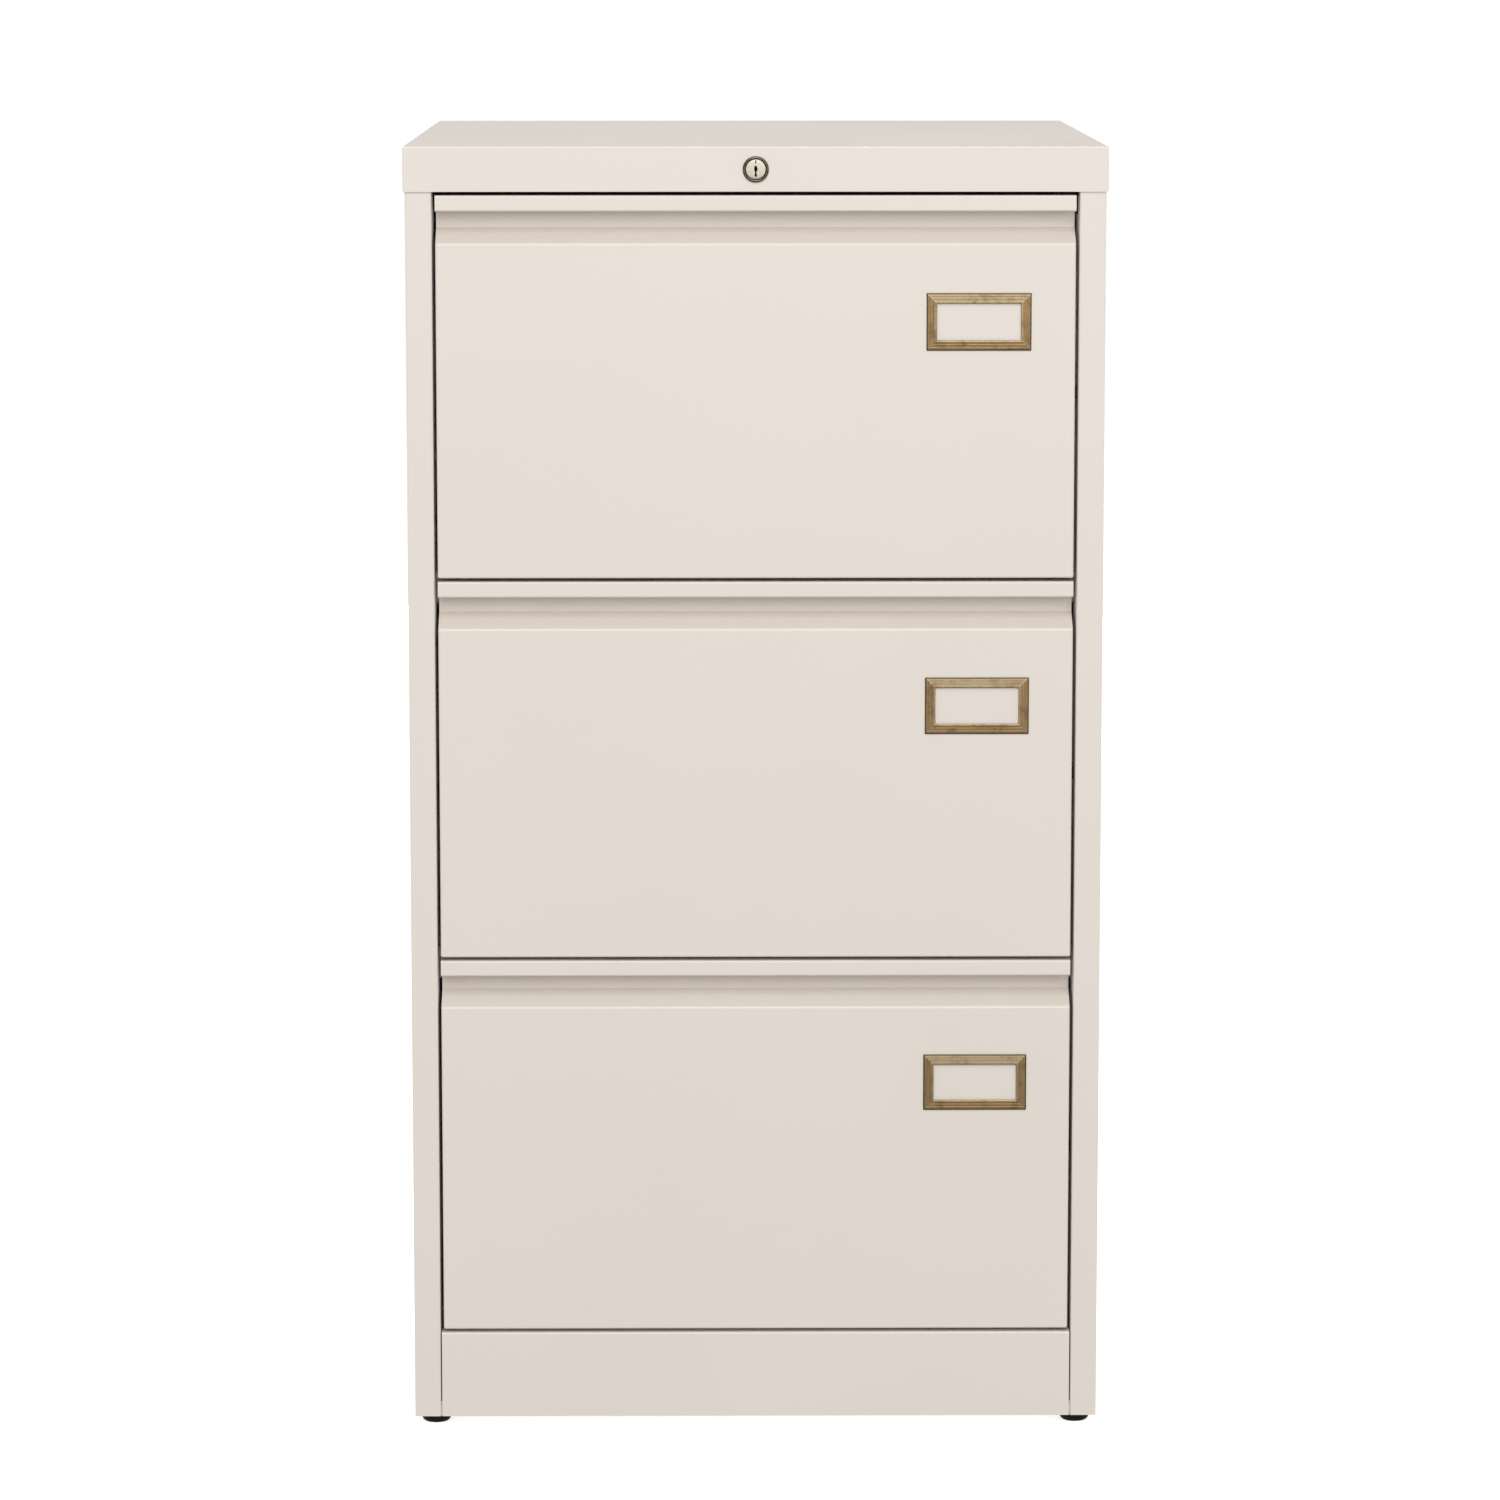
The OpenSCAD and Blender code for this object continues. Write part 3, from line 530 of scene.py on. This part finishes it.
def front_cage(low, high):
    """The front's profile as (y, z, half width) corners, drawn out sideways into faces."""
    y = low.y + SHEET_HALF
    back = low.y + RECESS_D + SHEET_HALF
    bottom, top = low.z + SHEET_HALF, high.z - SHEET_HALF
    ramp_top = high.z - BAR_H - RECESS_BACK
    ramp_foot = ramp_top - RAMP_H
    bar_foot = high.z - BAR_H + SHEET_HALF
    inner, outer = high.x - SHEET_HALF, high.x
    profile = [(back, bottom, inner), (y, bottom, inner), (y, ramp_foot, inner), (back, ramp_top, inner),
               (back, top, outer), (y, top, outer), (y, bar_foot, outer), (y + HEM_W, bar_foot, outer),
               (y + HEM_W, bar_foot + HEM_UP - SHEET_HALF, outer)]
    faces = []
    for (ya, za, xa), (yb, zb, xb) in zip(profile, profile[1:]):
        faces.append([(-xa, ya, za), (xa, ya, za), (xb, yb, zb), (-xb, yb, zb)])
    for side in (-1, 1):
        faces.append([(side * inner, yy, zz) for yy, zz, _ in profile[:END_CORNERS]])
    return faces


for n in DRAWERS:
    node = f"drawer_front_{n}"
    mesh = cage_mesh(f"front_folded_{n}", front_cage(*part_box(node)))
    fold_sheet(new_piece(f"front_folded_{n}", mesh, f"drawer_{n}", "paint", node, cream))
print("folded", len(DRAWERS), "drawer fronts")

# %% [markdown]
# ## Label holders
# A label holder is pressed from brass strip with mitred corners. Its bars rise from a thin
# outer edge in fine steps to a rounded inner lip. The section is drawn once, as distance in
# from the outer edge and height off the drawer, and swept round the four sides. A Bevel alone
# couldn't give the steps, and a curve would round the mitres. The lip and the mitres are given
# the brass with a painted highlight, the outer edge and the faces behind the lip the dark brass
# with painted shade and patina, and each bar its own lit and shaded copy of the brass. Small
# parts are drawn in millimetres.

# %% The holder's section
MM = 0.001
HOLDER_SECTION = [(0.0, 0.65), (0.0, 0.80), (0.25, 0.98), (0.75, 1.02), (0.95, 1.20), (2.60, 1.48),
                  (2.80, 1.38), (3.00, 1.54), (4.90, 1.84), (5.10, 1.74), (5.30, 1.90), (6.70, 2.12),
                  (7.00, 2.19), (7.45, 2.19), (7.80, 2.08), (8.05, 1.82), (8.20, 1.40), (8.20, 1.00),
                  (8.00, 0.65)]
# The section's steps with painted shade and patina at the outer edge, with the painted highlight from the
# lip on, and with painted shade and patina behind the lip
DARK_TO, LIP_FROM, LIP_BACK = 4, 12, 3
HOLDER_EDGE, HOLDER_SHARP = 0.00009, math.radians(20)
MITRE, CORNERS = 0.35, 8
STRIP_TOP, STRIP_W, STRIP_INSET = 0.70, 5.2, 0.25
# Slots: the shaded brass across the top, the lit brass of the sides, painted shade with patina, the painted
# highlight, the lit brass of the bottom bar
ACROSS, UPRIGHT, PATINA_AND_SHADE, PAINTED_HIGHLIGHT, LOW = range(5)
print("holder section", len(HOLDER_SECTION), "corners")

# %% Label holders
def mitred_frame(work, low, high, face_y):
    """Sweeps the section round the holder; each corner is cut off by a short mitre face."""
    rings = []
    cut = MITRE * MM
    for inset, height in HOLDER_SECTION:
        a, b = low.x + inset * MM, high.x - inset * MM
        c, d = low.z + inset * MM, high.z - inset * MM
        y = face_y - height * MM
        corners = ((a + cut, c), (b - cut, c), (b, c + cut), (b, d - cut),
                   (b - cut, d), (a + cut, d), (a, d - cut), (a, c + cut))
        rings.append([work.verts.new((x, y, z)) for x, z in corners])
    for step, (ring, following) in enumerate(zip(rings, rings[1:] + rings[:1])):
        # The lip's steps get the painted highlight; the mitres get it too
        lip_highlight = LIP_FROM <= step < len(HOLDER_SECTION) - LIP_BACK
        # Painted shade with patina at the outer edge and behind the lip
        dark = step < DARK_TO or step >= LIP_FROM
        for k in range(CORNERS):
            corner = (k + 1) % CORNERS
            face = work.faces.new([ring[k], ring[corner], following[corner], following[k]])
            on_mitre = k % 2 == 1 and not dark
            bar = LOW if k == 0 else (ACROSS, UPRIGHT)[(k // 2) % 2]
            face.material_index = PAINTED_HIGHLIGHT if lip_highlight or on_mitre else PATINA_AND_SHADE if dark else bar


def backing_strips(work, low, high, face_y):
    """Strips behind three sides hold the frame off the drawer; the card goes in from above."""
    s, w = STRIP_INSET * MM, STRIP_W * MM
    for lo, hi, index in (((low.x + s, low.z + s), (high.x - s, low.z + w), ACROSS),
                          ((low.x + s, low.z + w), (low.x + w, high.z - s), UPRIGHT),
                          ((high.x - w, low.z + w), (high.x - s, high.z - s), UPRIGHT)):
        size = (hi[0] - lo[0], STRIP_TOP * MM, hi[1] - lo[1])
        middle = ((lo[0] + hi[0]) / 2, face_y - STRIP_TOP * MM / 2, (lo[1] + hi[1]) / 2)
        made = bmesh.ops.create_cube(work, size=1.0, matrix=Matrix.LocRotScale(middle, None, size))
        for vert in made["verts"]:
            for face in vert.link_faces:
                face.material_index = index


for n in DRAWERS:
    node, name = f"label_holder_{n}", f"label_frame_{n}"
    face_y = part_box(f"drawer_front_{n}")[0].y
    work = bmesh.new()
    for make in (mitred_frame, backing_strips):
        make(work, *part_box(node), face_y)
    holder = new_piece(name, finish_mesh(work, name), f"drawer_{n}", "brass", node,
                       brass_across_shaded, brass_upright_lit, brass_patina_and_shade, brass_painted_highlight, brass_low_lit)
    modifier(holder, "BEVEL", "edges", width=HOLDER_EDGE, segments=2, limit_method="ANGLE",
             angle_limit=HOLDER_SHARP)
    modifier(holder, "WEIGHTED_NORMAL", "flat_normals", weight=60)
print("label holders", len(DRAWERS))

# %% [markdown]
# ## Lock rim
# The lock's rim is a turned part with a thread behind the lid, so it is a section spun round
# the lock's axis. Spinning it here, and not with a Screw modifier, lets the same few lines
# make the plug, the glides, the stops and the screws too, each facing its own way.

# %% Turned parts
TURNS = 96


def spin(work, section, place, turns=TURNS):
    """Spins a section of (radius, height) pairs; place maps (a, b, height) to a point."""
    rings = []
    for radius, height in section:
        if radius == 0:
            rings.append([work.verts.new(place(0, 0, height))])
            continue
        ring = []
        for k in range(turns):
            angle = math.tau * k / turns
            point = place(radius * math.cos(angle), radius * math.sin(angle), height)
            ring.append(work.verts.new(point))
        rings.append(ring)
    for ring, following in zip(rings, rings[1:]):
        for k in range(turns):
            j = (k + 1) % turns
            corners = [ring[k % len(ring)], ring[j % len(ring)],
                       following[j % len(following)], following[k % len(following)]]
            work.faces.new(list(dict.fromkeys(corners)))
    return rings


lid_y = lid_low.y


def on_lock(a, b, height):
    """A point at a, b millimetres across and up from the lock's axis, height mm off the lid."""
    return Vector((lock_x + a * MM, lid_y - height * MM, lock_z + b * MM))


# %% Lock rim
BARREL_BACK = (lid_y - lock_high.y) / MM
THREAD_R, THREAD_ROOT_R, THREAD_PITCH, THREAD_TURNS = 8.90, 8.55, 1.0, 16
BACK_CHAMFER, THREAD_START = 0.3, 0.8
RIM_SECTION = [(10.25, -0.02), (10.25, 0.75), (10.12, 1.25), (9.80, 1.68), (9.35, 1.93), (8.95, 1.98),
               (8.60, 1.90), (8.32, 1.70), (8.12, 1.38), (8.00, 0.90), (7.97, 0.05),
               (6.10, 0.00), (6.05, BARREL_BACK), (8.60, BARREL_BACK),
               (THREAD_R, BARREL_BACK + BACK_CHAMFER)]
for turn in range(THREAD_TURNS):
    at = BARREL_BACK + THREAD_START + turn * THREAD_PITCH
    RIM_SECTION += [(THREAD_R, at), (THREAD_ROOT_R, at + THREAD_PITCH / 2)]
RIM_SECTION += [(THREAD_R, -0.05)]
work = bmesh.new()
rings = spin(work, RIM_SECTION, on_lock)
for k in range(TURNS):
    j = (k + 1) % TURNS
    work.faces.new([rings[-1][k], rings[-1][j], rings[0][j], rings[0][k]])
rim = new_piece("lock_rim", finish_mesh(work, "lock_rim"), "cabinet", "lock_rim", "lock_barrel",
                dark_plate)
crisp_edges(rim)
print("lock rim", round((lock_high.x - lock_low.x) * 1000, 1), "mm across")

# %% [markdown]
# ## Plug and keyhole
# The plug is the part that turns with the key. Its face is flat, with a keyhole cut through it
# and a small notch that marks the top. The keyhole's outline has the wavy wards of a real
# key's section, and walls with painted shade run back from it and from the notch: a black
# patch on the face would look painted from the side. The face is filled round both outlines in
# one go.

# %% Plug and keyhole
PLUG_BACK = (lid_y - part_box("lock_plug")[1].y) / MM
FACE_H, FACE_R, STEM_R = 1.6, 7.85, 5.95
KEY_DEEP, NOTCH_DEEP = 9.0, 0.5
KEYHOLE = [(0.49, 2.75), (0.95, 2.20), (1.16, 1.20), (1.44, 0.20), (1.20, -0.90), (0.67, -1.90),
           (0.49, -2.60), (0.76, -3.30), (0.95, -4.30), (0.76, -5.40), (0.37, -5.90),
           (-0.37, -5.90), (-0.76, -5.40), (-0.92, -4.30), (-0.73, -3.30), (-0.51, -2.60),
           (-0.76, -1.70), (-1.16, -0.60), (-1.20, 0.80), (-0.98, 2.20), (-0.49, 2.75)]
NOTCH_BOX = [(0.42, 4.75), (0.42, 7.15), (-0.42, 7.15), (-0.42, 4.75)]


def cut_wells(work, rim_ring, wells, top):
    """Fills the flat face inside a ring but for the wells, and drops walls with painted shade from their
    edges.
    """
    loops = [[work.verts.new(on_lock(a, b, top)) for a, b in outline] for outline, _ in wells]
    edges = [work.edges.get(pair) for pair in zip(rim_ring, rim_ring[1:] + rim_ring[:1])]
    for loop in loops:
        edges += [work.edges.new(pair) for pair in zip(loop, loop[1:] + loop[:1])]
    bmesh.ops.triangle_fill(work, edges=edges, use_beauty=True, normal=(0, -1, 0))
    for loop, (outline, depth) in zip(loops, wells):
        deep = [work.verts.new(on_lock(a, b, top - depth)) for a, b in outline]
        for k in range(len(loop)):
            j = (k + 1) % len(loop)
            work.faces.new([loop[k], loop[j], deep[j], deep[k]]).material_index = 1
        work.faces.new(deep).material_index = 1


work = bmesh.new()
rings = spin(work, [(0, PLUG_BACK), (STEM_R, PLUG_BACK), (STEM_R, 0.10), (7.80, 0.10), (FACE_R, 0.20),
                    (FACE_R, 1.25), (7.70, 1.45), (7.45, FACE_H)], on_lock)
cut_wells(work, rings[-1], [(KEYHOLE, KEY_DEEP), (NOTCH_BOX, NOTCH_DEEP)], FACE_H)
plug = new_piece("lock_face", finish_mesh(work, "lock_face"), "lock_plug", "lock_face", "lock_plug",
                 nickel, keyhole_painted_shade)
crisp_edges(plug)
print("keyhole", len(KEYHOLE), "corners")

# %% [markdown]
# ## Glides and stops
# Small round pieces are spun too. The push-in glides are moulded with a domed sole and a stem,
# and the rubber stops behind the drawers have a rounded, hollow nose. Where each one sits is
# read from the CAD: a node that holds several identical pieces is split into its loose parts.

# %% Where identical pieces sit
def node_islands(node):
    """The box of each loose part of a CAD node, in order."""
    work = bmesh.new()
    work.from_mesh(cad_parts[node].data)
    bmesh.ops.remove_doubles(work, verts=work.verts, dist=WELD_WITHIN)
    seen, found = set(), []
    for start in work.verts:
        if start in seen:
            continue
        stack, part = [start], []
        seen.add(start)
        while stack:
            vert = stack.pop()
            part.append(vert.co.copy())
            for edge in vert.link_edges:
                other = edge.other_vert(vert)
                if other not in seen:
                    seen.add(other)
                    stack.append(other)
        low = Vector(min(p[k] for p in part) for k in range(3))
        high = Vector(max(p[k] for p in part) for k in range(3))
        found.append((low, high))
    work.free()
    return found


print("glides at", [[round(v, 3) for v in low] for low, _ in node_islands("foot_glides")])

# %% Glides and stops
GLIDE_TURNS, STOP_TURNS = 64, 48
GLIDE_SECTION = [(0, 0.0), (8.4, 0.0), (8.9, 0.10), (9.8, 0.55), (10.6, 1.25), (11.2, 2.15),
                 (11.65, 3.2), (11.9, 4.4), (11.98, 5.6), (11.95, 6.45), (11.8, 6.85), (11.5, 6.98),
                 (4.0, 6.98), (4.0, 8.8), (4.75, 9.0), (4.6, 9.6), (3.1, 13.6), (0, 13.9)]
work = bmesh.new()
for low, high in node_islands("foot_glides"):
    middle = (low + high) / 2
    spin(work, GLIDE_SECTION, lambda a, b, h: (middle.x + a * MM, middle.y + b * MM, low.z + h * MM),
         GLIDE_TURNS)
glides = new_piece("glides_moulded", finish_mesh(work, "glides_moulded"), "cabinet", "black_plastic",
                   "foot_glides", black_nylon)
crisp_edges(glides)

STOP_SECTION = [(0, 0.0), (10.0, 0.0), (10.0, 1.2), (9.6, 1.6), (9.2, 2.0), (8.9, 8.6), (8.5, 10.2),
                (7.6, 11.3), (6.2, 11.9), (3.0, 12.0), (2.6, 11.4), (2.4, 9.0), (0, 9.0)]
work = bmesh.new()
for low, high in node_islands("drawer_stops"):
    middle = (low + high) / 2
    spin(work, STOP_SECTION, lambda a, b, h: (middle.x + a * MM, high.y - h * MM, middle.z + b * MM),
         STOP_TURNS)
stops = new_piece("stops_moulded", finish_mesh(work, "stops_moulded"), "cabinet", "rubber",
                  "drawer_stops", black_rubber)
crisp_edges(stops)
print("glides and stops spun")

# %% [markdown]
# ## Screws
# Pan-head screws hold the back panel and the drawers' slides. A pan head is a low dome with a
# cross recess. One screw is spun and the cross is cut out of it with a Boolean; then its mesh
# is copied to each screw of the CAD, turned a little differently every time, because nobody
# lines up the recesses of a filing cabinet.

# %% One screw
SHANK_R, SHANK_L, HEAD_H, HEAD_TURNS = 1.75, 4.0, 1.4, 48
RECESS_L, RECESS_W, RECESS_TALL, RECESS_AT = 3.4, 0.7, 1.6, 1.35
HEAD_SECTION = [(SHANK_R, -SHANK_L), (SHANK_R, 0.0), (3.35, 0.0), (3.5, 0.12), (3.5, 0.35), (3.3, 0.72),
                (2.8, 1.05), (2.0, 1.28), (1.0, 1.38), (0, HEAD_H)]


def screw_mesh():
    """One pan-head screw along +Z, its head's underside at zero, in millimetres."""
    work = bmesh.new()
    rings = spin(work, HEAD_SECTION, lambda a, b, h: (a, b, h), HEAD_TURNS)
    work.faces.new(rings[0][::-1])
    body = bpy.data.objects.new("screw_blank", finish_mesh(work, "screw_blank"))
    work = bmesh.new()
    for size in ((RECESS_L, RECESS_W, RECESS_TALL), (RECESS_W, RECESS_L, RECESS_TALL)):
        bmesh.ops.create_cube(work, size=1.0, matrix=Matrix.LocRotScale((0, 0, RECESS_AT), None, size))
    cross = bpy.data.objects.new("screw_cross", finish_mesh(work, "screw_cross"))
    for made in (body, cross):
        bpy.context.scene.collection.objects.link(made)
    modifier(body, "BOOLEAN", "recess", object=cross, operation="DIFFERENCE", solver="EXACT",
             use_self=True)
    bpy.context.view_layer.update()
    graph = bpy.context.evaluated_depsgraph_get()
    mesh = bpy.data.meshes.new_from_object(body.evaluated_get(graph))
    for made in (body, cross):
        bpy.data.objects.remove(made)
    return mesh


one_screw = screw_mesh()
print("one screw", len(one_screw.polygons), "faces")

# %% Screws in their places
POINT_BACK = Matrix.Rotation(math.radians(-90), 4, "X")
TURN_STEP = math.radians(37)


def point_sideways(middle):
    """Turns a head towards the outside of the cabinet, left or right."""
    return Matrix.Rotation(math.radians(-90 if middle.x > 0 else 90), 4, "Y")


def screws(name, node, body, aim_at):
    """A screw at each of the node's screws; aim_at(middle) turns +Z to the way its head points."""
    work = bmesh.new()
    for count, (low, high) in enumerate(node_islands(node)):
        seat = (low + high) / 2
        aim = aim_at(seat)
        outward = aim @ Vector((0, 0, 1))
        axis = max(range(3), key=lambda k: abs(outward[k]))
        seat[axis] = high[axis] - HEAD_H * MM if outward[axis] > 0 else low[axis] + HEAD_H * MM
        before = len(work.verts)
        work.from_mesh(one_screw)
        work.verts.ensure_lookup_table()
        turned = Matrix.Rotation(TURN_STEP * count, 4, "Z")
        place = Matrix.Translation(seat) @ aim @ turned @ Matrix.Scale(MM, 4)
        bmesh.ops.transform(work, matrix=place, verts=work.verts[before:])
    crisp_edges(new_piece(name, finish_mesh(work, name), body, "zinc_steel", node, zinc))


screws("panel_screws", "body_screws", "cabinet", lambda middle: POINT_BACK)
for n in DRAWERS:
    screws(f"slide_screw_set_{n}", f"slide_screws_{n}", f"drawer_{n}", point_sideways)
bpy.data.meshes.remove(one_screw)
print("screws placed")

# %% [markdown]
# ## Studio
# The cabinet stands on a plain white floor under soft light. The floor glows a little so that
# it stays white everywhere, and it is hidden from bounced light, or it would light the
# recesses from below. A high key and a tall softbox in front give the drawers their even cream
# and leave the recesses in shade. Low softboxes at the sides and behind only light those
# faces, and a weak sky fills in the rest.

# %% Floor
FLOOR_HALF, FLOOR_GLOW = 300.0, 0.72
mesh = bpy.data.meshes.new("floor")
corners = [(x * FLOOR_HALF, y * FLOOR_HALF, 0) for x, y in ((-1, -1), (1, -1), (1, 1), (-1, 1))]
mesh.from_pydata(corners, [], [(0, 1, 2, 3)])
floor = bpy.data.objects.new("floor", mesh)
bpy.context.scene.collection.objects.link(floor)
floor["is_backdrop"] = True
floor.visible_diffuse = floor.visible_glossy = False
studio_white = Finish("studio_white", Roughness=0.9, Specular_IOR_Level=0.1)
speckle = studio_white.noise(3.0, detail=2.0)
studio_white.wear("Base Color", studio_white.blend(speckle, grey(0.90), grey(0.93)))
studio_white.shader.inputs["Emission Color"].default_value = grey(1.0)
studio_white.shader.inputs["Emission Strength"].default_value = FLOOR_GLOW
mesh.materials.append(studio_white.material)
print("floor", 2 * FLOOR_HALF, "m across")

# %% Lights and sky
SKY = 0.375
MIDDLE, LID, WAIST = (0.0, -0.3, 0.55), (0.0, 0.0, 1.0), (0.0, 0.0, 0.5)


def softbox(name, spot, aim, width, height, power):
    """A rectangle of light at a spot, turned to face its aim; metres and watts."""
    light = bpy.data.lights.new(name, "AREA")
    light.shape, light.size, light.size_y, light.energy = "RECTANGLE", width, height, power
    made = bpy.data.objects.new(name, light)
    made.location = spot
    made.visible_camera = False
    made.rotation_euler = (Vector(aim) - Vector(spot)).to_track_quat("-Z", "Y").to_euler()
    bpy.context.scene.collection.objects.link(made)


softbox("key_softbox", (-0.6, -4.6, 5.6), MIDDLE, 3.4, 2.2, 84.0)
softbox("front_softbox", (0.7, -7.0, 3.2), MIDDLE, 4.6, 5.4, 306.0)
softbox("top_softbox", (0.0, 0.3, 3.4), LID, 1.6, 1.6, 28.5)
softbox("left_softbox", (-4.5, 0.5, 0.5), WAIST, 3.0, 1.0, 58.0)
softbox("right_softbox", (4.5, 0.5, 0.5), WAIST, 3.0, 1.0, 48.0)
softbox("back_softbox", (0.8, 5.0, 0.5), WAIST, 3.0, 1.0, 52.0)

sky = bpy.data.worlds.new("sky")
sky.use_nodes = True
sky.node_tree.nodes["Background"].inputs["Color"].default_value = grey(1.0)
sky.node_tree.nodes["Background"].inputs["Strength"].default_value = SKY
bpy.context.scene.world = sky
bpy.context.scene.view_settings.view_transform = "Standard"
print("studio lit")

# %% [markdown]
# ## Finish
# The visual model's box is measured and printed. The visual model has to stay inside the
# CAD model's box.

# %% Sizes and finish
low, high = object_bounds()
print("visual box", [round(v, 4) for v in high - low])
